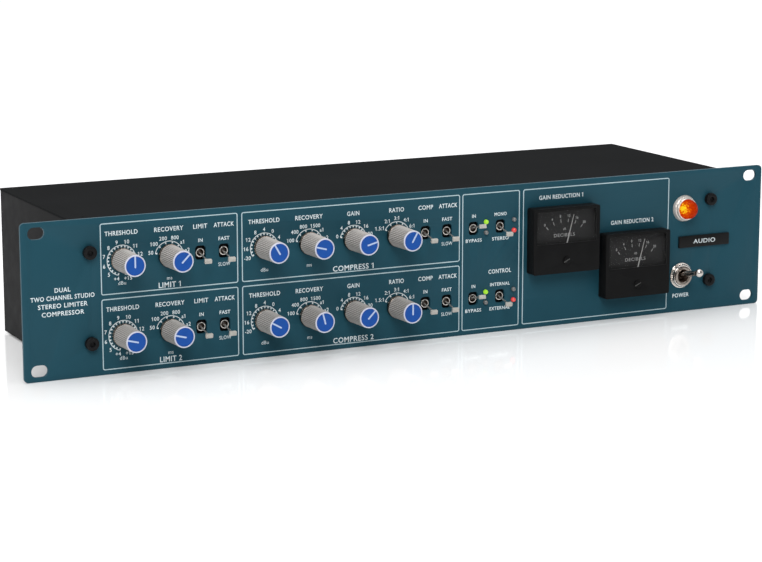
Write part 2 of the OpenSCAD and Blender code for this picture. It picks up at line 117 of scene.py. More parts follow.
class Nodes:
    """Builds one material's node tree around a Principled shader."""

    def __init__(self, name):
        self.material = bpy.data.materials.new(name)
        self.material.use_nodes = True
        self.tree = self.material.node_tree
        self.shader = self.tree.nodes["Principled BSDF"]
        self.coords = self.tree.nodes.new("ShaderNodeTexCoord").outputs["Object"]

    def link(self, a, b):
        self.tree.links.new(a, b)

    def noise(self, size, detail=3.0, stretch=None):
        """Noise with features of about `size` metres, drawn out along an axis by `stretch`."""
        source = self.coords
        if stretch:
            mapping = self.tree.nodes.new("ShaderNodeMapping")
            mapping.inputs["Scale"].default_value = stretch
            self.link(source, mapping.inputs["Vector"])
            source = mapping.outputs["Vector"]
        texture = self.tree.nodes.new("ShaderNodeTexNoise")
        texture.inputs["Scale"].default_value = 1 / size
        texture.inputs["Detail"].default_value = detail
        self.link(source, texture.inputs["Vector"])
        return texture.outputs["Fac"]

    def ramp(self, fac, stops):
        ramp = self.tree.nodes.new("ShaderNodeValToRGB")
        elements = ramp.color_ramp.elements
        while len(elements) < len(stops):
            elements.new(0.5)
        for element, (position, colour) in zip(elements, stops):
            element.position = position
            element.color = (*colour, 1)
        self.link(fac, ramp.inputs["Fac"])
        return ramp.outputs["Color"]

    def spread(self, fac, low, high):
        """Maps the busy middle of a noise, 0.3 to 0.7, to low..high."""
        node = self.tree.nodes.new("ShaderNodeMapRange")
        node.inputs["From Min"].default_value = 0.3
        node.inputs["From Max"].default_value = 0.7
        node.inputs["To Min"].default_value = low
        node.inputs["To Max"].default_value = high
        self.link(fac, node.inputs["Value"])
        return node.outputs["Result"]

    def bump(self, height, depth, strength):
        node = self.tree.nodes.new("ShaderNodeBump")
        node.inputs["Distance"].default_value = depth
        node.inputs["Strength"].default_value = strength
        self.link(height, node.inputs["Height"])
        return node.outputs["Normal"]


def shade(colour, factor):
    return tuple(min(1.0, c * factor) for c in colour)


def finish_material(name, colour, rough=(0.4, 0.5), metal=0.0, vary=0.06, cloud=20 * MM, grain=0.3 * MM,
                    depth=0.01 * MM, stretch=None, specular=0.5):
    """Colour that clouds a little, roughness that follows a finer noise, and a fine grain as bump."""
    n = Nodes(name)
    clouds = n.noise(cloud, 4, stretch)
    fine = n.noise(grain, 2, stretch)
    n.link(n.ramp(clouds, [(0.3, shade(colour, 1 - vary)), (0.7, shade(colour, 1 + vary))]),
           n.shader.inputs["Base Color"])
    n.link(n.spread(n.noise(cloud / 4, 3, stretch), *rough), n.shader.inputs["Roughness"])
    n.shader.inputs["Metallic"].default_value = metal
    n.shader.inputs["Specular IOR Level"].default_value = specular
    n.link(n.bump(fine, depth, 0.6), n.shader.inputs["Normal"])
    return n


def glow(n, colour, strength):
    n.shader.inputs["Emission Color"].default_value = (*colour, 1)
    n.shader.inputs["Emission Strength"].default_value = strength
    return n


def window_material():
    """The meters' clear front: almost fully see-through, with a faint haze and no bending of light."""
    n = finish_material("clear_window", (0.03, 0.03, 0.03), (0.3, 0.4), vary=0.1, cloud=12 * MM,
                        specular=0.0)
    n.shader.inputs["Alpha"].default_value = 0.05
    return n


def bulb_material():
    """The pilot bulb's warm clear glass."""
    n = Nodes("bulb_glass")
    n.shader.inputs["Base Color"].default_value = (1.0, 0.9, 0.7, 1)
    n.shader.inputs["Transmission Weight"].default_value = 1.0
    n.shader.inputs["IOR"].default_value = 1.49
    n.link(n.spread(n.noise(6 * MM, 3), 0.02, 0.05), n.shader.inputs["Roughness"])
    return n


TEAL = (0.0140, 0.0655, 0.0920)
# Each finish: what finish_material takes besides the name.
FINISHES = {
    "panel_paint": dict(colour=TEAL, rough=(0.42, 0.5), vary=0.04, cloud=60 * MM, grain=0.35 * MM,
                        depth=0.012 * MM, specular=0.12),
    "case_paint": dict(colour=(0.0215, 0.0215, 0.022), rough=(0.55, 0.65), vary=0.05, cloud=30 * MM,
                       grain=0.5 * MM, depth=0.02 * MM, specular=0.01),
    "cover_paint": dict(colour=(0.0155, 0.0160, 0.0165), rough=(0.55, 0.65), vary=0.04, cloud=40 * MM,
                        grain=0.5 * MM, depth=0.015 * MM, specular=0.0),
    "black_screws": dict(colour=(0.007, 0.007, 0.0075), rough=(0.3, 0.42), vary=0.15, cloud=2 * MM,
                         specular=0.13),
    "zinc_parts": dict(colour=(0.45, 0.45, 0.46), rough=(0.25, 0.4), metal=1.0, cloud=3 * MM),
    "bright_nuts": dict(colour=(0.6, 0.57, 0.53), rough=(0.16, 0.28), metal=1.0, cloud=2 * MM),
    "circuit_board": dict(colour=(0.02, 0.12, 0.05), rough=(0.3, 0.4), vary=0.15, cloud=8 * MM),
    "green_led": dict(colour=(0.20, 0.36, 0.02), rough=(0.1, 0.2), cloud=1 * MM),
    "red_led": dict(colour=(0.42, 0.04, 0.035), rough=(0.1, 0.16), cloud=1 * MM, specular=1.0),
    "unlit_led": dict(colour=(0.15, 0.15, 0.15), rough=(0.1, 0.16), vary=0.1, cloud=1 * MM, specular=1.0),
    "meter_black": dict(colour=(0.0078, 0.0078, 0.0080), rough=(0.35, 0.45), vary=0.1, cloud=10 * MM,
                        grain=0.6 * MM, depth=0.008 * MM, specular=0.06),
    # Slot floor of the zero adjusters: a lighter grey that paints a highlight in the slot.
    "adjuster_slot_painted_highlight": dict(colour=(0.10, 0.10, 0.095), rough=(0.3, 0.4), vary=0.1, cloud=1 * MM),
    "meter_dial": dict(colour=(0.029, 0.029, 0.0292), rough=(0.5, 0.6), vary=0.06, cloud=8 * MM,
                       specular=0.05),
    "dial_print": dict(colour=(0.36, 0.36, 0.355), rough=(0.5, 0.6), vary=0.05, cloud=4 * MM),
    "lever_chrome": dict(colour=(0.56, 0.53, 0.50), rough=(0.07, 0.12), metal=1.0, vary=0.05,
                         cloud=3 * MM),
    "chrome_trim": dict(colour=(0.74, 0.70, 0.66), rough=(0.08, 0.16), metal=1.0, vary=0.05, cloud=3 * MM,
                        depth=0.004 * MM),
    "bezel_metal": dict(colour=(0.82, 0.74, 0.68), rough=(0.18, 0.26), metal=0.5, vary=0.06, cloud=3 * MM,
                        depth=0.004 * MM),
    "dark_chrome": dict(colour=(0.30, 0.26, 0.23), rough=(0.12, 0.22), metal=1.0, vary=0.15,
                        cloud=1.5 * MM),
    "switch_body": dict(colour=(0.05, 0.03, 0.02), rough=(0.4, 0.5), vary=0.15, cloud=4 * MM),
    "badge_black": dict(colour=(0.006, 0.006, 0.006), rough=(0.3, 0.4), vary=0.2, cloud=6 * MM,
                        specular=0.15),
    "capacitor_sleeve": dict(colour=(0.02, 0.02, 0.07), rough=(0.15, 0.25), cloud=5 * MM),
    "transformer_iron": dict(colour=(0.08, 0.07, 0.06), rough=(0.4, 0.6), vary=0.2, cloud=4 * MM,
                             stretch=(1, 12, 1)),
    "connector_black": dict(colour=(0.012, 0.012, 0.013), rough=(0.35, 0.45), vary=0.15, cloud=6 * MM,
                            specular=0.3),
    "knob_grey": dict(colour=(0.43, 0.408, 0.388), rough=(0.45, 0.55), vary=0.04, cloud=5 * MM,
                      specular=0.3),
    # The rim is the grip's own grey; its lighter, bluish colour here is a painted highlight on the rim's
    # chamfer.
    "knob_rim": dict(colour=(0.57, 0.58, 0.68), rough=(0.35, 0.45), vary=0.03, cloud=3 * MM,
                     specular=0.3),
    # Flute floors: a dark grey that paints the shade in the knob's grooves; the knob itself is one grey.
    "knob_groove_painted_shade": dict(colour=(0.11, 0.102, 0.095), rough=(0.5, 0.6), vary=0.05, cloud=5 * MM,
                        specular=0.2),
    "knob_line": dict(colour=(0.44, 0.54, 0.74), rough=(0.35, 0.45), vary=0.03, cloud=3 * MM,
                      specular=0.3),
    "lever_tip": dict(colour=(0.48, 0.46, 0.42), rough=(0.35, 0.45), vary=0.05, cloud=2 * MM),
    "needle_white": dict(colour=(0.38, 0.38, 0.37), rough=(0.4, 0.5), vary=0.04, cloud=2 * MM),
    "knob_blue": dict(colour=(0.012, 0.076, 0.335), rough=(0.4, 0.48), vary=0.04, cloud=4 * MM,
                      specular=0.12),
    "white_print": dict(colour=(0.74, 0.82, 0.84), rough=(0.45, 0.55), vary=0.03, cloud=6 * MM,
                        specular=0.2),
    "line_print": dict(colour=(0.47, 0.60, 0.64), rough=(0.45, 0.55), vary=0.03, cloud=6 * MM,
                       specular=0.2),
    "knob_band": dict(colour=(0.24, 0.20, 0.17), rough=(0.07, 0.13), metal=1.0, vary=0.1, cloud=2 * MM),
    # Near-black: the toggles' own dark bodies behind the panel, and painted shade on the power switch's
    # bore walls.
    "black_body_and_bore_shade": dict(colour=(0.003, 0.003, 0.003), rough=(0.5, 0.6), vary=0.2, cloud=2 * MM,
                        specular=0.1),
    # Dark brown painted shade inside the toggles' bores, on the bore walls and on the levers' ball ends.
    "painted_bore_shade": dict(colour=(0.030, 0.020, 0.014), rough=(0.3, 0.45), vary=0.25, cloud=1.5 * MM),
    "stem_steel": dict(colour=(0.52, 0.51, 0.48), rough=(0.2, 0.3), metal=0.72, vary=0.08, cloud=1 * MM),
    "gold_pins": dict(colour=(0.75, 0.55, 0.22), rough=(0.15, 0.25), metal=1.0, cloud=2 * MM),
}
MATERIALS = {name: finish_material(name, **finish) for name, finish in FINISHES.items()}
glow(MATERIALS["green_led"], (0.42, 0.90, 0.03), 0.5)
glow(MATERIALS["red_led"], (0.95, 0.05, 0.04), 0.42)
MATERIALS["clear_window"] = window_material()
MATERIALS["bulb_glass"] = bulb_material()


def jewel_material():
    """Amber lens, lit by the bulb: a bright yellow patch low on one side, deep orange elsewhere."""
    n = Nodes("amber_jewel")
    place = n.tree.nodes.new("ShaderNodeMapping")
    hot = Vector((LAMP.x - 5.5 * MM, FACE_Y - 6.7 * MM, LAMP.z + 1.2 * MM))
    place.inputs["Location"].default_value = -hot
    n.link(n.coords, place.inputs["Vector"])
    length = n.tree.nodes.new("ShaderNodeVectorMath")
    length.operation = "LENGTH"
    n.link(place.outputs["Vector"], length.inputs[0])
    reach = n.tree.nodes.new("ShaderNodeMapRange")
    reach.inputs["From Max"].default_value = 11 * MM
    n.link(length.outputs["Value"], reach.inputs["Value"])
    sparkle = n.tree.nodes.new("ShaderNodeMath")
    sparkle.operation = "ADD"
    n.link(reach.outputs["Result"], sparkle.inputs[0])
    n.link(n.spread(n.noise(1.1 * MM, 2), -0.16, 0.22), sparkle.inputs[1])
    light = n.ramp(sparkle.outputs["Value"], [(0.14, (1.0, 0.68, 0.02)), (0.26, (0.92, 0.24, 0.004)),
                                              (0.38, (0.68, 0.052, 0.001)), (0.95, (0.30, 0.010, 0.0))])
    n.link(light, n.shader.inputs["Emission Color"])
    n.link(n.ramp(sparkle.outputs["Value"], [(0.14, (0.12, 0.08, 0.0)), (0.5, (0.03, 0.002, 0.0))]),
           n.shader.inputs["Base Color"])
    n.shader.inputs["Emission Strength"].default_value = 0.88
    n.shader.inputs["Specular IOR Level"].default_value = 0.02
    n.link(n.spread(n.noise(2 * MM), 0.05, 0.12), n.shader.inputs["Roughness"])
    return n


MATERIALS["amber_jewel"] = jewel_material()


def material(name):
    return MATERIALS[name].material


# --- Mesh helpers -----------------------------------------------------------------------------

def finished_mesh(name, bm, materials):
    """The bmesh as a mesh with its materials. The bmesh is used up."""
    mesh = bpy.data.meshes.new(name)
    bm.to_mesh(mesh)
    bm.free()
    for m in materials:
        mesh.materials.append(material(m))
    return mesh


def make_piece(name, bm, body, materials, replaces=(), smooth_angle=30):
    """Turns a bmesh into a piece that rides on a body."""
    mesh = finished_mesh(name, bm, materials)
    mesh.shade_smooth()
    mesh.set_sharp_from_angle(angle=math.radians(smooth_angle))
    piece = bpy.data.objects.new(name, mesh)
    bpy.context.scene.collection.objects.link(piece)
    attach(piece, body)
    if replaces:
        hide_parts(*replaces)
    return piece


def soften(piece, width, segments=2):
    """Rounds a piece's sharp edges, and applies the result to its mesh."""
    bevel = piece.modifiers.new("soft_edges", "BEVEL")
    bevel.width = width
    bevel.segments = segments
    bevel.limit_method = "ANGLE"
    bevel.angle_limit = math.radians(35)
    bevel.use_clamp_overlap = True
    bevel.harden_normals = False
    apply_modifiers(piece)
    piece.data.shade_smooth()
    piece.data.set_sharp_from_angle(angle=math.radians(50))


def apply_modifiers(piece):
    graph = bpy.context.evaluated_depsgraph_get()
    mesh = bpy.data.meshes.new_from_object(piece.evaluated_get(graph))
    piece.modifiers.clear()
    piece.data = mesh


def welded_copy(node):
    """The CAD node's mesh as a bmesh, with split vertices joined and flat faces merged."""
    bm = bmesh.new()
    bm.from_mesh(NODES[node].data)
    bmesh.ops.remove_doubles(bm, verts=bm.verts, dist=1e-7)
    bmesh.ops.dissolve_limit(bm, angle_limit=math.radians(0.5), verts=bm.verts, edges=bm.edges)
    return bm


def dressed_node(node, body, slot, width, choose=None, materials=None, segments=2):
    """A CAD node's shape with softened edges. choose(face centre, normal) picks a face's material."""
    bm = welded_copy(node)
    if choose:
        for face in bm.faces:
            face.material_index = choose(face.calc_center_median(), face.normal)
    piece = make_piece(f"{node}_skin", bm, body, materials or [slot], [node])
    if width:
        soften(piece, width, segments)
    return piece


def nearest(point, spots):
    """Distance in millimetres, across the panel, from a point to the nearest of some (x, z) spots."""
    return min(math.hypot(point.x / MM - x, point.z / MM - z) for x, z in spots)


def in_bore(centre, normal, spots, radius):
    """Whether a face is part of the wall of a round hole about one of the spots."""
    return nearest(centre, spots) < radius and abs(normal.y) < 0.5


def to_panel(x, z, out):
    """A point on the panel: millimetres across, up and out of the face, in metres."""
    return Vector((x * MM, FACE_Y - out * MM, z * MM))


PRINT_T = 0.03


def ribbon(bm, points, width, closed=False):
    """A printed line of even width along (x, z) points."""
    count = len(points)
    left, right = [], []
    for i, (x, z) in enumerate(points):
        before = points[i - 1] if closed or i else points[i]
        after = points[(i + 1) % count] if closed or i < count - 1 else points[i]
        dx, dz = after[0] - before[0], after[1] - before[1]
        size = math.hypot(dx, dz)
        nx, nz = -dz / size * width / 2, dx / size * width / 2
        left.append((x + nx, z + nz))
        right.append((x - nx, z - nz))
    rings = []
    for (lx, lz), (rx, rz) in zip(left, right):
        rings.append([bm.verts.new(to_panel(lx, lz, PRINT_T)), bm.verts.new(to_panel(rx, rz, PRINT_T)),
                      bm.verts.new(to_panel(rx, rz, 0)), bm.verts.new(to_panel(lx, lz, 0))])
    for i in range(count if closed else count - 1):
        a, b = rings[i], rings[(i + 1) % count]
        for k in range(4):
            bm.faces.new((a[k], a[(k + 1) % 4], b[(k + 1) % 4], b[k]))
    if not closed:
        bm.faces.new(list(reversed(rings[0])))
        bm.faces.new(rings[-1])


def arc_points(x, z, radius, start, end, steps):
    """Points on a circle, with angles in degrees clockwise from straight up."""
    out = []
    for i in range(steps + 1):
        a = math.radians(start + (end - start) * i / steps)
        out.append((x + radius * math.sin(a), z + radius * math.cos(a)))
    return out


def round_box_points(x0, x1, z0, z1, radius, steps=5):
    points = []
    corners = ((x1 - radius, z1 - radius, 0), (x1 - radius, z0 + radius, 90),
               (x0 + radius, z0 + radius, 180), (x0 + radius, z1 - radius, 270))
    for cx, cz, start in corners:
        points += arc_points(cx, cz, radius, start, start + 90, steps)
    return points


def close_normals(bm):
    bmesh.ops.recalc_face_normals(bm, faces=bm.faces)


# --- Printed words ----------------------------------------------------------------------------

WORD_CACHE = {}
BOLD = 0.014
FINE = 0.0
SQUEEZE = 0.86


def add_flag(points, faces, stem, top, cap):
    """Gives a 1 the short slanting stroke at its upper left, as a thin solid."""
    first = len(points)
    corners = ((0.02, 0.0), (-0.24, -0.2), (-0.24, -0.32), (0.02, -0.14))
    for z in (0.5, -0.5):
        points += [Vector((stem + x * cap, top + y * cap, z)) for x, y in corners]
    faces.append(tuple(first + k for k in range(4)))
    faces.append(tuple(first + 7 - k for k in range(4)))
    for k in range(4):
        n = (k + 1) % 4
        faces.append((first + k, first + 4 + k, first + 4 + n, first + n))


def word_shape(text, bold=BOLD):
    """The vertices and faces of a word from Blender's own font, with its cap height scaled to 1."""
    if (text, bold) not in WORD_CACHE:
        def outline(body):
            curve = bpy.data.curves.new("word", "FONT")
            curve.body = body
            curve.offset = bold
            curve.space_character = 1.1
            curve.extrude = 0.5
            curve.resolution_u = 3
            holder = bpy.data.objects.new("word", curve)
            bpy.context.scene.collection.objects.link(holder)
            graph = bpy.context.evaluated_depsgraph_get()
            mesh = bpy.data.meshes.new_from_object(holder.evaluated_get(graph))
            points = [v.co.copy() for v in mesh.vertices]
            faces = [tuple(p.vertices) for p in mesh.polygons]
            bpy.data.objects.remove(holder)
            bpy.data.curves.remove(curve)
            bpy.data.meshes.remove(mesh)
            return points, faces

        caps, _ = outline("H")
        base, top = min(p.y for p in caps), max(p.y for p in caps)
        points, faces = outline(text)
        bar = [p.x for p in outline("1")[0]]
        for i, letter in enumerate(text):
            if letter == "1":
                stem = max(p.x for p in outline(text[:i + 1])[0]) - (max(bar) - min(bar))
                add_flag(points, faces, stem, top, top - base)
        left, right = min(p.x for p in points), max(p.x for p in points)
        scale = 1 / (top - base)
        mid_x, mid_y = (left + right) / 2, (base + top) / 2
        shape = [((p.x - mid_x) * scale, (p.y - mid_y) * scale, p.z) for p in points]
        WORD_CACHE[(text, bold)] = (shape, faces, (right - left) * scale)
    return WORD_CACHE[(text, bold)]


def word(bm, text, x, z, cap, width=None, place=to_panel, bold=BOLD):
    """Prints a word centred at x, z, with capitals `cap` high and, if given, `width` wide."""
    shape, faces, natural = word_shape(text, bold)
    sx = width / natural if width else cap * SQUEEZE
    verts = []
    for px, py, pz in shape:
        verts.append(bm.verts.new(place(x + px * sx, z + py * cap, PRINT_T if pz > 0 else 0)))
    for face in faces:
        corners = [verts[i] for i in face]
        if len(set(corners)) > 2:
            try:
                bm.faces.new(corners)
            except ValueError:
                continue


# --- Case, panel and screws -------------------------------------------------------------------

def build_case():
    dressed_node("front_panel", "case", "panel_paint", 0.3 * MM)
    dressed_node("chassis_tray", "case", "case_paint", 0.4 * MM)
    dressed_node("top_cover", "case", "cover_paint", 0.35 * MM)
    dressed_node("panel_screws", "case", "black_screws", 0.35 * MM, segments=3)
    dressed_node("chassis_screws", "case", "black_screws", 0.08 * MM, materials=["cover_paint"])
    for node, slot in (("control_pots", "zinc_parts"), ("pot_nuts", "bright_nuts"),
                       ("control_board", "circuit_board"), ("main_board", "circuit_board"),
                       ("board_standoffs", "bright_nuts"), ("filter_capacitors", "capacitor_sleeve"),
                       ("mains_transformer", "transformer_iron"), ("meter_dials", "meter_dial"),
                       ("meter_windows", "clear_window"), ("pilot_bulb", "bulb_glass")):
        cad = NODES[node]
        cad.data.materials.clear()
        cad.data.materials.append(material(slot))


# --- Knobs ------------------------------------------------------------------------------------

FLUTES = 36
FLUTE_PROFILE = (0.0, 0.0, 0.35, 0.35)
KNOB_LOW, KNOB_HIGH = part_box("limit_1_threshold_knob")
KNOB_H = (FACE_Y - KNOB_LOW.y) / MM
COLLAR_R = (KNOB_HIGH.x - KNOB_LOW.x) / 2 / MM
COLLAR_LOW, COLLAR_TOP = 0.4, 2.9
GRIP_R = COLLAR_R - 0.3
KNOB_FRONT_R = COLLAR_R - 0.65
DISC_R = 5.3
DISC_DROP = 0.4


def grip_radius(h):
    """Radius of the tapered grip at height h above the panel's face."""
    return GRIP_R + (KNOB_FRONT_R - GRIP_R) * (h - COLLAR_TOP) / (KNOB_H - COLLAR_TOP)


def ring_of(bm, radius_at, h, count):
    """A ring of vertices about the y axis, h millimetres out."""
    ring = []
    for i in range(count):
        a = 2 * math.pi * i / count
        r = radius_at(i) * MM
        ring.append(bm.verts.new((r * math.sin(a), -h * MM, r * math.cos(a))))
    return ring


def bridge(bm, low, high, index=0, groove=None):
    """Joins two rings with quads. groove gives the material of each flute's floor, a darker one that
    paints the shade in the flutes.
    """
    count = len(low)
    for i in range(count):
        j = (i + 1) % count
        face = bm.faces.new((low[i], low[j], high[j], high[i]))
        face.material_index = groove if groove is not None and i % len(FLUTE_PROFILE) == 2 else index


def knob_body_mesh():
    """Metal collar, tapered grip with straight flutes and raised rim, with the panel's face at y = 0."""
    bm = bmesh.new()
    steps = len(FLUTE_PROFILE)
    count = FLUTES * steps
    inner = GRIP_R - 0.5
    collar = [(inner, 3.2, 1), (inner, COLLAR_LOW, 1), (COLLAR_R - 0.2, COLLAR_LOW, 1),
              (COLLAR_R - 0.01, COLLAR_LOW + 0.2, 1), (COLLAR_R - 0.01, COLLAR_TOP - 0.5, 1),
              (COLLAR_R - 0.15, COLLAR_TOP - 0.2, 1), (GRIP_R - 0.1, COLLAR_TOP, 1)]
    rings = []
    for r, h, index in collar:
        rings.append((ring_of(bm, lambda i, r=r: r, h, count), index))
    for h, cut in ((COLLAR_TOP + 0.1, 0), (COLLAR_TOP + 0.4, 1), (KNOB_H - 1.0, 1), (KNOB_H - 0.7, 0)):
        rings.append((ring_of(bm, lambda i, h=h, cut=cut: grip_radius(h) - cut * FLUTE_PROFILE[i % steps],
                              h, count), 0))
    top = grip_radius(KNOB_H)
    # The rim faces, index 2, take the painted highlight colour.
    rim = [(top, KNOB_H - 0.5, 0), (top - 0.06, KNOB_H - 0.2, 2), (top - 0.22, KNOB_H - 0.03, 2),
           (top - 0.36, KNOB_H, 2), (DISC_R + 0.12, KNOB_H, 2), (DISC_R + 0.02, KNOB_H - 0.1, 2),
           (DISC_R, KNOB_H - DISC_DROP - 0.3, 2)]
    for r, h, index in rim:
        rings.append((ring_of(bm, lambda i, r=r: r, h, count), index))
    for (low, _), (high, index) in zip(rings, rings[1:]):
        # Index 3 paints shade on each flute's floor.
        bridge(bm, low, high, index, groove=3 if index == 0 else None)
    bm.faces.new(rings[0][0])
    bm.faces.new(list(reversed(rings[-1][0]))).material_index = 2
    close_normals(bm)
    return finished_mesh("knob_body", bm, ["knob_grey", "knob_band", "knob_rim", "knob_groove_painted_shade"])


def disc_mesh():
    """Blue disc that sits a little below the grip's rim."""
    bm = bmesh.new()
    count = 96
    low = KNOB_H - DISC_DROP - 0.25
    high = KNOB_H - DISC_DROP + 0.1
    profile = ((DISC_R - 0.04, low), (DISC_R - 0.04, high - 0.06), (DISC_R - 0.1, high),
               (DISC_R - 1.2, high - 0.02))
    rings = [ring_of(bm, lambda i, r=r: r, h, count) for r, h in profile]
    for a, b in zip(rings, rings[1:]):
        bridge(bm, a, b)
    bm.faces.new(rings[0])
    bm.faces.new(list(reversed(rings[-1])))
    close_normals(bm)
    return finished_mesh("knob_disc", bm, ["knob_blue"])


def pointer_mesh():
    """Pale line from past the middle of the disc out to the rim, with one round end."""
    bm = bmesh.new()
    half = 0.45
    tail = -0.75
    points = [(half, DISC_R + 0.05), (half, tail)]
    for i in range(1, 6):
        a = math.pi * i / 6
        points.append((half * math.cos(a), tail - half * math.sin(a)))
    points += [(-half, tail), (-half, DISC_R + 0.05)]
    low, high = KNOB_H - DISC_DROP, KNOB_H - 0.12
    front = [bm.verts.new((x * MM, -high * MM, z * MM)) for x, z in points]
    back = [bm.verts.new((x * MM, -low * MM, z * MM)) for x, z in points]
    bm.faces.new(front)
    bm.faces.new(list(reversed(back)))
    for i in range(len(points)):
        j = (i + 1) % len(points)
        bm.faces.new((front[j], front[i], back[i], back[j]))
    close_normals(bm)
    return finished_mesh("knob_pointer", bm, ["knob_line"])


def build_knobs():
    shapes = (("body", knob_body_mesh(), "knob_grey"), ("disc", disc_mesh(), "knob_blue"),
              ("pointer", pointer_mesh(), "white_print"))
    for body in [b for b in frame["bodies"] if b.endswith("_knob")]:
        x, z = axis_of(body)
        turn = Matrix.Rotation(math.radians(rest_angle(body)), 4, "Y")
        for part, mesh, slot in shapes:
            piece = bpy.data.objects.new(f"{body}_{part}", mesh)
            bpy.context.scene.collection.objects.link(piece)
            piece.matrix_world = Matrix.Translation(to_panel(x, z, 0)) @ turn
            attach(piece, body)
            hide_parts(body)
    for _, mesh, _ in shapes:
        mesh.shade_smooth()
        mesh.set_sharp_from_angle(angle=math.radians(40))


# --- Dial scales ------------------------------------------------------------------------------

# Each scale: lowest angle, highest angle, degrees between ticks, degrees between numbers, the numbers.
SCALES = {
    "limit_threshold": (-165, 165, 15, 30, ["+4", "5", "6", "7", "8", "9", "10", "11", "12", "13", "14",
                                            "+15"]),
    "limit_recovery": (-75, 75, 30, 30, ["50", "100", "200", "800", "a1", "a2"]),
    "compress_threshold": (-120, 105, 15, 30, ["-20", "16", "12", "8", "4", "0", "4", "8"]),
    "compress_recovery": (-75, 75, 30, 30, ["100", "400", "800", "1500", "a1", "a2"]),
    "compress_gain": (-75, 75, 15, 30, ["0", "4", "8", "12", "16", "20"]),
    "compress_ratio": (-60, 60, 30, 30, ["1.5:1", "2:1", "3:1", "4:1", "6:1"]),
}
SCALE_DROP = 0.35
RING_R = 8.45
RING_W = 0.42
TICK_IN = 7.3
TICK_W = 0.82
NUMBER_R = 10.5
NUMBER_CAP = 2.15
NUMBER_SQUEEZE = 0.95
NUMBER_BOLD = 0.012
DIGIT_W = 1.5


def scale_of(body):
    section, _, control, _ = body.split("_")
    return SCALES[f"{section}_{control}"]


def rest_angle(body):
    """The pointer's angle at rest: the scale's lowest angle less the joint's travel down to it."""
    return scale_of(body)[0] - JOINTS[body]["range_deg"][0]


def build_scales(bm):
    for body in [b for b in frame["bodies"] if b.endswith("_knob")]:
        x, z = axis_of(body)
        z -= SCALE_DROP
        low, high, tick_step, number_step, numbers = scale_of(body)
        ribbon(bm, arc_points(x, z, RING_R, low, high, max(12, (high - low) // 5)), RING_W)
        for k in range(round((high - low) / tick_step) + 1):
            a = math.radians(low + k * tick_step)
            ribbon(bm, [(x + TICK_IN * math.sin(a), z + TICK_IN * math.cos(a)),
                        (x + RING_R * math.sin(a), z + RING_R * math.cos(a))], TICK_W)
        for k, number in enumerate(numbers):
            a = math.radians(low + k * number_step)
            width = word_shape(number, NUMBER_BOLD)[2] * NUMBER_CAP * NUMBER_SQUEEZE
            aside = math.copysign(min(1, 2 * abs(math.sin(a))) * (width - DIGIT_W) / 2, math.sin(a))
            number_x = x + NUMBER_R * math.sin(a) + aside
            number_z = z + NUMBER_R * math.cos(a)
            word(bm, number, number_x, number_z, NUMBER_CAP, width, bold=NUMBER_BOLD)


# --- Legends and outlines ---------------------------------------------------------------------

HEAD_Z, UPPER_Z, LOWER_Z, UNIT_Z, TITLE_Z = 15.0, 7.1, -7.5, -12.8, -16.4
HEAD_CAP, SMALL_CAP, UNIT_CAP, TITLE_CAP = 2.5, 2.0, 2.0, 3.1
MODE_RISE = 0.25
TITLE_BLOCK_X = -218.4
BOX_LOW, BOX_HIGH = -19.0, 20.9
LINE_W = 0.55
CORNER_R = 1.0


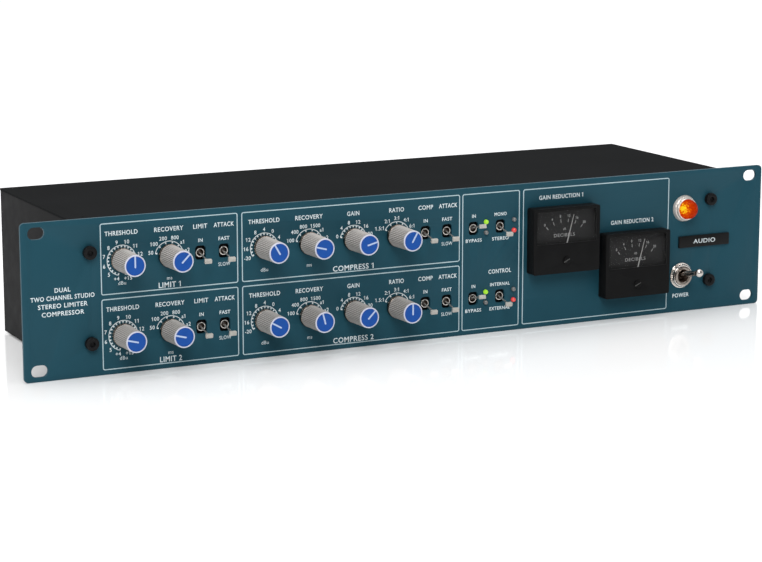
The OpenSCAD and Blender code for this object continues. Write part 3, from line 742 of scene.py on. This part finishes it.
def build_legends(bm):
    panel_mid = (PANEL_LOW.z + PANEL_HIGH.z) / 2 / MM
    for row, z in ROW_Z.items():
        heads = [("THRESHOLD", LIMIT_X["threshold_knob"], 19.2),
                 ("RECOVERY", LIMIT_X["recovery_knob"], 17.2),
                 ("LIMIT", LIMIT_X["in_lever"], 8.4), ("ATTACK", LIMIT_X["attack_lever"], 12.2),
                 ("THRESHOLD", COMP_X["threshold_knob"], 19.2),
                 ("RECOVERY", COMP_X["recovery_knob"], 17.2),
                 ("GAIN", COMP_X["gain_knob"], 7.8), ("RATIO", COMP_X["ratio_knob"], 9.6),
                 ("COMP", COMP_X["in_lever"], 9.6), ("ATTACK", COMP_X["attack_lever"] + 0.6, 12.2)]
        for text, x, width in heads:
            word(bm, text, x, z + HEAD_Z, HEAD_CAP, width)
        for side in (LIMIT_X, COMP_X):
            word(bm, "IN", side["in_lever"], z + UPPER_Z, SMALL_CAP, 2.6)
            word(bm, "FAST", side["attack_lever"], z + UPPER_Z, SMALL_CAP, 6.6)
            word(bm, "SLOW", side["attack_lever"], z + LOWER_Z, SMALL_CAP, 7.2, bold=FINE)
            word(bm, "dBu", side["threshold_knob"], z + UNIT_Z - 0.2, UNIT_CAP, 4.5, bold=FINE)
            word(bm, "ms", side["recovery_knob"], z + UNIT_Z + 0.2, UNIT_CAP, 3.1, bold=FINE)
        word(bm, f"LIMIT {row}", LIMIT_X["recovery_knob"], z + TITLE_Z, TITLE_CAP, 13.1)
        word(bm, f"COMPRESS {row}", COMP_X["gain_knob"], z + TITLE_Z, TITLE_CAP, 26)
        word(bm, "IN", BYPASS_X + 0.1, z + UPPER_Z + MODE_RISE, SMALL_CAP, 2.5)
        word(bm, "BYPASS", BYPASS_X + 0.1, z + LOWER_Z + MODE_RISE, SMALL_CAP, 10.7)
    word(bm, "MONO", MODE_X, ROW_Z[1] + UPPER_Z + MODE_RISE, SMALL_CAP, 8.2)
    word(bm, "STEREO", MODE_X, ROW_Z[1] + LOWER_Z + MODE_RISE, SMALL_CAP, 11.2)
    word(bm, "CONTROL", MODE_X - 0.2, ROW_Z[2] + HEAD_Z + MODE_RISE, HEAD_CAP, 15.4)
    word(bm, "INTERNAL", MODE_X, ROW_Z[2] + UPPER_Z + MODE_RISE, SMALL_CAP, 13.4)
    word(bm, "EXTERNAL", MODE_X, ROW_Z[2] + LOWER_Z + MODE_RISE, SMALL_CAP, 14.0)
    for m in (1, 2):
        px, pz = METER_PIVOT[m]
        word(bm, f"GAIN REDUCTION {m}", px + 0.4, pz + 33.3, HEAD_CAP, 30.5)
    word(bm, "POWER", POWER_X + 0.4, POWER_Z - 12.6, HEAD_CAP, 12)
    title = (("DUAL", 6.0, 9.0), ("TWO CHANNEL STUDIO", 1.8, 36.5), ("STEREO LIMITER", -2.6, 28.4),
             ("COMPRESSOR", -7.0, 24.3))
    for text, z, width in title:
        word(bm, text, TITLE_BLOCK_X, panel_mid + z, HEAD_CAP, width)


def build_outlines(bm):
    limit_left, limit_right, comp_left, comp_right = -196.3, -114.8, -112.5, 26.8
    mode_left, mode_right, meter_left, meter_right = 28.4, 67.2, 69.5, 172.8
    frames = []
    for z in ROW_Z.values():
        frames.append((limit_left, limit_right, z + BOX_LOW, z + BOX_HIGH))
        frames.append((comp_left, comp_right, z + BOX_LOW, z + BOX_HIGH))
    low, high = ROW_Z[2] + BOX_LOW, ROW_Z[1] + BOX_HIGH
    frames.append((mode_left, mode_right, low, high))
    frames.append((meter_left, meter_right, low, high))
    inset = LINE_W / 2
    for x0, x1, z0, z1 in frames:
        points = round_box_points(x0 + inset, x1 - inset, z0 + inset, z1 - inset, CORNER_R)
        ribbon(bm, points, LINE_W, closed=True)


def build_print():
    for name, build, print_name in (("dial_scales", build_scales, "white_print"),
                                    ("panel_legends", build_legends, "white_print"),
                                    ("panel_outlines", build_outlines, "line_print")):
        bm = bmesh.new()
        build(bm)
        close_normals(bm)
        make_piece(name, bm, "case", [print_name])


# --- Lever switches ---------------------------------------------------------------------------

SMALL_LEVERS = [b for b in frame["bodies"] if b.endswith("_lever") and b != "power_lever"]
LEVER_SPOTS = [axis_of(b) for b in SMALL_LEVERS]
LEVER_BORE_R = 2.2
LEVER_BALL = 1.9 * MM
LEVER_TIP = 13.3 * MM


def build_levers():
    def bushing_part(centre, normal):
        # Bore walls get the painted bore shade.
        if in_bore(centre, normal, LEVER_SPOTS, LEVER_BORE_R):
            return 2
        return 1 if centre.y < PANEL_BACK_Y + 0.1 * MM else 0

    dressed_node("toggle_switches", "case", "bright_nuts", 0.18 * MM, bushing_part,
                 ["black_body_and_bore_shade", "bright_nuts", "painted_bore_shade"])
    for body in SMALL_LEVERS:
        pivot = Vector(JOINTS[body]["pos_m"])
        low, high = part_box(body)
        far = Vector((pivot.x, low.y, low.z if JOINTS[body]["range_deg"][0] < 0 else high.z))
        way = (far - pivot).normalized()

        def lever_part(centre, normal, pivot=pivot, way=way):
            along = (centre - pivot).dot(way)
            # The lever's ball end, down in the bore, takes the painted bore shade.
            if along < LEVER_BALL:
                return 2
            return 1 if along > LEVER_TIP else 0

        dressed_node(body, body, "lever_tip", 0.12 * MM, lever_part,
                     ["stem_steel", "lever_tip", "painted_bore_shade"])


def build_leds():
    for colour in ("green", "red", "unlit"):
        dressed_node(f"leds_{colour}", "case", f"{colour}_led", 0)


# --- Meters -----------------------------------------------------------------------------------

DIAL_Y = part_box("meter_dials")[0].y
TICK_ANGLES = (-38, -22.8, -7.6, 7.6, 22.8, 38)
DIAL_TICK_LOW, DIAL_TICK_HIGH, DIAL_NUMBER_R = 18.3, 20.4, 22.2
DIAL_WORD = "DECIBELS"
DIAL_BOLD = 0.01
NEEDLE_REST = 15
NEEDLE_HUB = 3 * MM
NEEDLE_FINE = 0.72


def on_dial(x, z, out):
    """A point on the meters' scale plates."""
    return Vector((x * MM, DIAL_Y - out * MM, z * MM))


def dial_line(bm, x0, z0, x1, z1, width):
    """A straight printed line on a scale plate."""
    dx, dz = x1 - x0, z1 - z0
    size = math.hypot(dx, dz)
    nx, nz = -dz / size * width / 2, dx / size * width / 2
    corners = [(x0 + nx, z0 + nz), (x1 + nx, z1 + nz), (x1 - nx, z1 - nz), (x0 - nx, z0 - nz)]
    front = [bm.verts.new(on_dial(x, z, PRINT_T)) for x, z in corners]
    back = [bm.verts.new(on_dial(x, z, 0)) for x, z in corners]
    bm.faces.new(front)
    bm.faces.new(list(reversed(back)))
    for i in range(4):
        j = (i + 1) % 4
        bm.faces.new((front[j], front[i], back[i], back[j]))


def build_needle(m):
    """The needle's own shape, with its blade drawn finer."""
    name = f"meter_{m}_needle"
    pivot = Vector(JOINTS[name]["pos_m"])
    a = math.radians(NEEDLE_REST)
    way = Vector((math.sin(a), 0, math.cos(a)))
    bm = welded_copy(name)
    for vert in bm.verts:
        offset = vert.co - pivot
        along = offset.dot(way)
        if along > NEEDLE_HUB:
            side = Vector((offset.x, 0, offset.z)) - along * way
            vert.co -= side * (1 - NEEDLE_FINE)
    make_piece(f"{name}_skin", bm, name, ["needle_white"], [name])


def build_meters():
    low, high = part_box("meter_cases")
    left, right = METER_PIVOT[1][0] * MM - low.x, high.x - METER_PIVOT[2][0] * MM
    below = METER_PIVOT[2][1] * MM - low.z
    above = high.z - METER_PIVOT[1][1] * MM

    def case_part(centre, normal):
        """The walls of the window's opening take the dial's lighter colour: painted light, standing in
        for the window's haze over the walls' shade.
        """
        if abs(normal.y) > 0.5:
            return 0
        m = 1 if centre.x < (METER_PIVOT[1][0] + METER_PIVOT[2][0]) / 2 * MM else 2
        dx, dz = centre.x - METER_PIVOT[m][0] * MM, centre.z - METER_PIVOT[m][1] * MM
        inside = -left + MM < dx < right - MM and -below + MM < dz < above - MM
        return 1 if inside else 0

    dressed_node("meter_cases", "case", "meter_black", 0.45 * MM, case_part,
                 ["meter_black", "meter_dial"], 3)
    bm = bmesh.new()
    for px, pz in METER_PIVOT.values():
        for k, angle in enumerate(TICK_ANGLES):
            a = math.radians(angle)
            dial_line(bm, px + DIAL_TICK_LOW * math.sin(a), pz + DIAL_TICK_LOW * math.cos(a),
                      px + DIAL_TICK_HIGH * math.sin(a), pz + DIAL_TICK_HIGH * math.cos(a), 0.32)
            word(bm, str(4 * k), px + DIAL_NUMBER_R * math.sin(a), pz + DIAL_NUMBER_R * math.cos(a), 1.6,
                 place=on_dial, bold=DIAL_BOLD)
        word(bm, "dB", px, pz + 14.3, 1.4, place=on_dial, bold=FINE)
        word(bm, DIAL_WORD, px, pz + 10.6, 1.9, 14.5, place=on_dial, bold=FINE)
    close_normals(bm)
    make_piece("meter_scales", bm, "case", ["dial_print"])
    for m in (1, 2):
        build_needle(m)
        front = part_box(f"meter_{m}_adjuster")[0].y

        def adjuster_part(centre, normal, front=front):
            # The slot's floor faces get the painted highlight.
            in_slot = normal.y < -0.9 and front + 0.2 * MM < centre.y < front + 0.7 * MM
            return 1 if in_slot else 0

        dressed_node(f"meter_{m}_adjuster", f"meter_{m}_adjuster", "meter_black", 0.1 * MM, adjuster_part,
                     ["meter_black", "adjuster_slot_painted_highlight"])


# --- Pilot lamp, power switch, nameplate ------------------------------------------------------

GROOVE_OUT = 2.3
GROOVE_W = 0.5
GROOVE_DEPTH = 0.25
BEZEL_BORE_R = 6.4


def build_bezel():
    """The lamp's tapered ring, with one turned groove around it."""
    bm = welded_copy("lamp_bezel")
    for step in (-0.5, -0.2, 0.2, 0.5):
        bmesh.ops.bisect_plane(bm, geom=bm.verts[:] + bm.edges[:] + bm.faces[:],
                               plane_co=to_panel(0, 0, GROOVE_OUT + step * GROOVE_W), plane_no=(0, 1, 0))
    for vert in bm.verts:
        out = (FACE_Y - vert.co.y) / MM
        from_axis = math.hypot(vert.co.x - LAMP.x, vert.co.z - LAMP.z)
        if from_axis > BEZEL_BORE_R * MM and abs(out - GROOVE_OUT) < 0.3 * GROOVE_W:
            shrink = 1 - GROOVE_DEPTH * MM / from_axis
            vert.co.x = LAMP.x + (vert.co.x - LAMP.x) * shrink
            vert.co.z = LAMP.z + (vert.co.z - LAMP.z) * shrink
    bezel = make_piece("lamp_bezel_skin", bm, "case", ["bezel_metal"], ["lamp_bezel"])
    soften(bezel, 0.08 * MM)


def build_jewel():
    """The lamp's lens: a short round wall and a dome of triangular facets."""
    low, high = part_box("lamp_jewel")
    radius = (high.x - low.x) / 2 / MM
    rise = (FACE_Y - low.y) / MM
    bm = bmesh.new()
    facets = 14
    rim = rise - radius
    steps = [(radius - 0.05, 1.2, 0), (radius - 0.05, rim + 0.2, 0)]
    for degrees, shift in ((24, 0.5), (46, 0), (67, 0.5)):
        a = math.radians(degrees)
        steps.append(((radius - 0.1) * math.cos(a), rim + (radius - 0.1) * math.sin(a), shift))
    rings = []
    for r, h, shift in steps:
        ring = []
        for i in range(facets):
            a = 2 * math.pi * (i + shift) / facets
            ring.append(bm.verts.new((LAMP.x + r * MM * math.sin(a), FACE_Y - h * MM,
                                      LAMP.z + r * MM * math.cos(a))))
        rings.append((ring, shift))
    for (low_ring, s0), (high_ring, s1) in zip(rings, rings[1:]):
        for i in range(facets):
            j = (i + 1) % facets
            if s0 == s1:
                bm.faces.new((low_ring[i], low_ring[j], high_ring[j], high_ring[i]))
            elif s1 > s0:
                bm.faces.new((low_ring[i], low_ring[j], high_ring[i]))
                bm.faces.new((high_ring[i], low_ring[j], high_ring[j]))
            else:
                bm.faces.new((low_ring[i], high_ring[j], high_ring[i]))
                bm.faces.new((low_ring[i], low_ring[j], high_ring[j]))
    tip = bm.verts.new(Vector((LAMP.x, FACE_Y - (rise - 0.05) * MM, LAMP.z)))
    top = rings[-1][0]
    for i in range(facets):
        bm.faces.new((top[i], top[(i + 1) % facets], tip))
    bm.faces.new(rings[0][0])
    close_normals(bm)
    make_piece("jewel_lens", bm, "case", ["amber_jewel"], ["lamp_jewel"], smooth_angle=1)


POWER_BORE_R = 3.95


def build_power_nut():
    """A plain washer, and a round nut with fine grooves around its edge."""
    bm = bmesh.new()
    grooves, hole = 40, 6.1
    groove_depth = 0.28
    washer = [(hole, 0.0, 0), (7.8, 0.0, 0), (7.88, 0.1, 0), (7.88, 0.65, 0), (7.75, 0.78, 0),
              (hole, 0.78, 0)]
    nut = [(hole, 0.88, 0), (7.0, 0.88, 0), (7.18, 1.0, 1), (7.18, 2.1, 1), (6.95, 2.4, 1),
           (6.6, 2.85, 0), (6.5, 2.95, 0), (hole, 2.95, 0)]
    for profile in (washer, nut):
        rings = []
        for r, h, cut in profile:
            rings.append(ring_of(bm, lambda i, r=r, cut=cut: r - groove_depth * cut * (i // 2 % 2), h,
                                 grooves * 4))
        for low, high in zip(rings, rings[1:] + rings[:1]):
            bridge(bm, low, high)
    for vert in bm.verts:
        vert.co += to_panel(POWER_X, POWER_Z, 0)
    close_normals(bm)
    make_piece("power_nut", bm, "case", ["chrome_trim"], ["power_switch_nut"])


def build_power():
    def switch_part(centre, normal):
        if centre.y > PANEL_BACK_Y + 0.1 * MM:
            return 0
        # The bore walls take near-black painted shade.
        return 2 if in_bore(centre, normal, [(POWER_X, POWER_Z)], POWER_BORE_R) else 1

    dressed_node("power_switch", "case", "switch_body", 0.2 * MM, switch_part,
                 ["switch_body", "dark_chrome", "black_body_and_bore_shade"])
    build_power_nut()
    dressed_node("power_lever", "power_lever", "chrome_trim", 0, materials=["lever_chrome"])


def build_nameplate():
    dressed_node("nameplate", "case", "badge_black", 0.25 * MM, segments=3)
    low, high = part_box("nameplate")
    bm = bmesh.new()

    def on_plate(x, z, out):
        return Vector((x * MM, low.y - out * MM, z * MM))

    word(bm, "AUDIO", (low.x + high.x) / 2 / MM, (low.z + high.z) / 2 / MM, 2.6, 16, place=on_plate,
         bold=FINE)
    close_normals(bm)
    make_piece("nameplate_word", bm, "case", ["white_print"])


# --- Rear connectors --------------------------------------------------------------------------

PIN_CIRCLE_R = 4.4
PIN_ANGLES = (20, 160, 270)
PIN_R = 1.3
JACK_BORE_R = 3.4


def centres_of(node, half_width):
    """The middles of a node's leftmost and rightmost connector, as x and z in millimetres."""
    low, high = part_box(node)
    z = (low.z + high.z) / 2 / MM
    return (low.x / MM + half_width, z), (high.x / MM - half_width, z)


def build_rear():
    jacks = centres_of("control_jacks", 8)
    pins = []
    for x, z in centres_of("output_sockets", 13):
        for angle in PIN_ANGLES:
            a = math.radians(angle)
            pins.append((x + PIN_CIRCLE_R * math.cos(a), z + PIN_CIRCLE_R * math.sin(a)))

    def plug_part(centre, normal):
        return 1 if nearest(centre, pins) < PIN_R else 0

    def jack_part(centre, normal):
        if centre.y < REAR_Y - 0.05 * MM:
            return 0
        return 0 if in_bore(centre, normal, jacks, JACK_BORE_R) else 1

    dressed_node("mains_inlet", "case", "connector_black", 0.3 * MM)
    dressed_node("input_sockets", "case", "connector_black", 0.25 * MM)
    dressed_node("output_sockets", "case", "connector_black", 0.2 * MM, plug_part,
                 ["connector_black", "gold_pins"])
    dressed_node("control_jacks", "case", "connector_black", 0.2 * MM, jack_part,
                 ["connector_black", "bright_nuts"])
    for i in (1, 2):
        dressed_node(f"input_{i}_latch", f"input_{i}_latch", "bright_nuts", 0.2 * MM)


# --- Stage ------------------------------------------------------------------------------------

def build_floor():
    """A wide white floor at the case's foot."""
    reach, level = 12, CAD_BOX[0][2]
    corners = [(-reach, -reach, level), (reach, -reach, level), (reach, reach, level),
               (-reach, reach, level)]
    floor_mesh = bpy.data.meshes.new("floor")
    floor_mesh.from_pydata(corners, [], [(0, 1, 2, 3)])
    floor = bpy.data.objects.new("floor", floor_mesh)
    bpy.context.scene.collection.objects.link(floor)
    n = Nodes("floor_white")
    n.shader.inputs["Base Color"].default_value = (0.86, 0.86, 0.86, 1)
    n.link(n.spread(n.noise(0.4), 0.05, 0.07), n.shader.inputs["Roughness"])
    floor_mesh.materials.append(glow(n, (1, 1, 1), 0.14).material)


def build_world():
    """A white room, darker grey in front."""
    world = bpy.data.worlds.new("studio")
    world.use_nodes = True
    tree = world.node_tree
    sky = tree.nodes["Background"]
    sky.inputs["Strength"].default_value = 1.0
    place = tree.nodes.new("ShaderNodeTexCoord")
    split = tree.nodes.new("ShaderNodeSeparateXYZ")
    tree.links.new(place.outputs["Generated"], split.inputs["Vector"])
    ramp = tree.nodes.new("ShaderNodeValToRGB")
    depth = tree.nodes.new("ShaderNodeMapRange")
    depth.inputs["From Min"].default_value = -1
    tree.links.new(split.outputs["Y"], depth.inputs["Value"])
    tree.links.new(depth.outputs["Result"], ramp.inputs["Fac"])
    ramp.color_ramp.elements[0].position = 0.25
    ramp.color_ramp.elements[0].color = (0.32, 0.33, 0.34, 1)
    ramp.color_ramp.elements[1].position = 0.5
    ramp.color_ramp.elements[1].color = (1, 1, 1, 1)
    tree.links.new(ramp.outputs["Color"], sky.inputs["Color"])
    bpy.context.scene.world = world


def build_lights():
    lights = (("key", (-0.9, -1.6, 1.7), 1.4, 34), ("top", (0.3, 0.2, 1.8), 1.6, 14),
              ("side", (-2.2, 0.4, 0.7), 1.0, 8))
    for name, place_m, size, power in lights:
        lamp = bpy.data.lights.new(name, "AREA")
        lamp.size = size
        lamp.energy = power
        holder = bpy.data.objects.new(name, lamp)
        holder.location = place_m
        holder.rotation_euler = (-Vector(place_m)).to_track_quat("-Z", "Y").to_euler()
        bpy.context.scene.collection.objects.link(holder)


def build_camera():
    azimuth, elevation, distance = math.radians(-26.57), math.radians(11.26), 1.362
    target = Vector((-0.025, FACE_Y, -0.0063))
    back = Vector((math.sin(azimuth) * math.cos(elevation), -math.cos(azimuth) * math.cos(elevation),
                   math.sin(elevation)))
    data = bpy.data.cameras.new("camera")
    data.lens = 110.9
    data.sensor_width = 36
    data.clip_end = 50
    camera = bpy.data.objects.new("camera", data)
    camera.location = target + back * distance
    camera.rotation_euler = (-back).to_track_quat("-Z", "Y").to_euler()
    bpy.context.scene.collection.objects.link(camera)
    bpy.context.scene.camera = camera


bpy.context.scene.view_settings.view_transform = "Standard"
build_camera()
build_floor()
build_world()
build_lights()
build_case()
build_knobs()
build_print()
build_levers()
build_leds()
build_meters()
build_bezel()
build_jewel()
build_power()
build_nameplate()
build_rear()
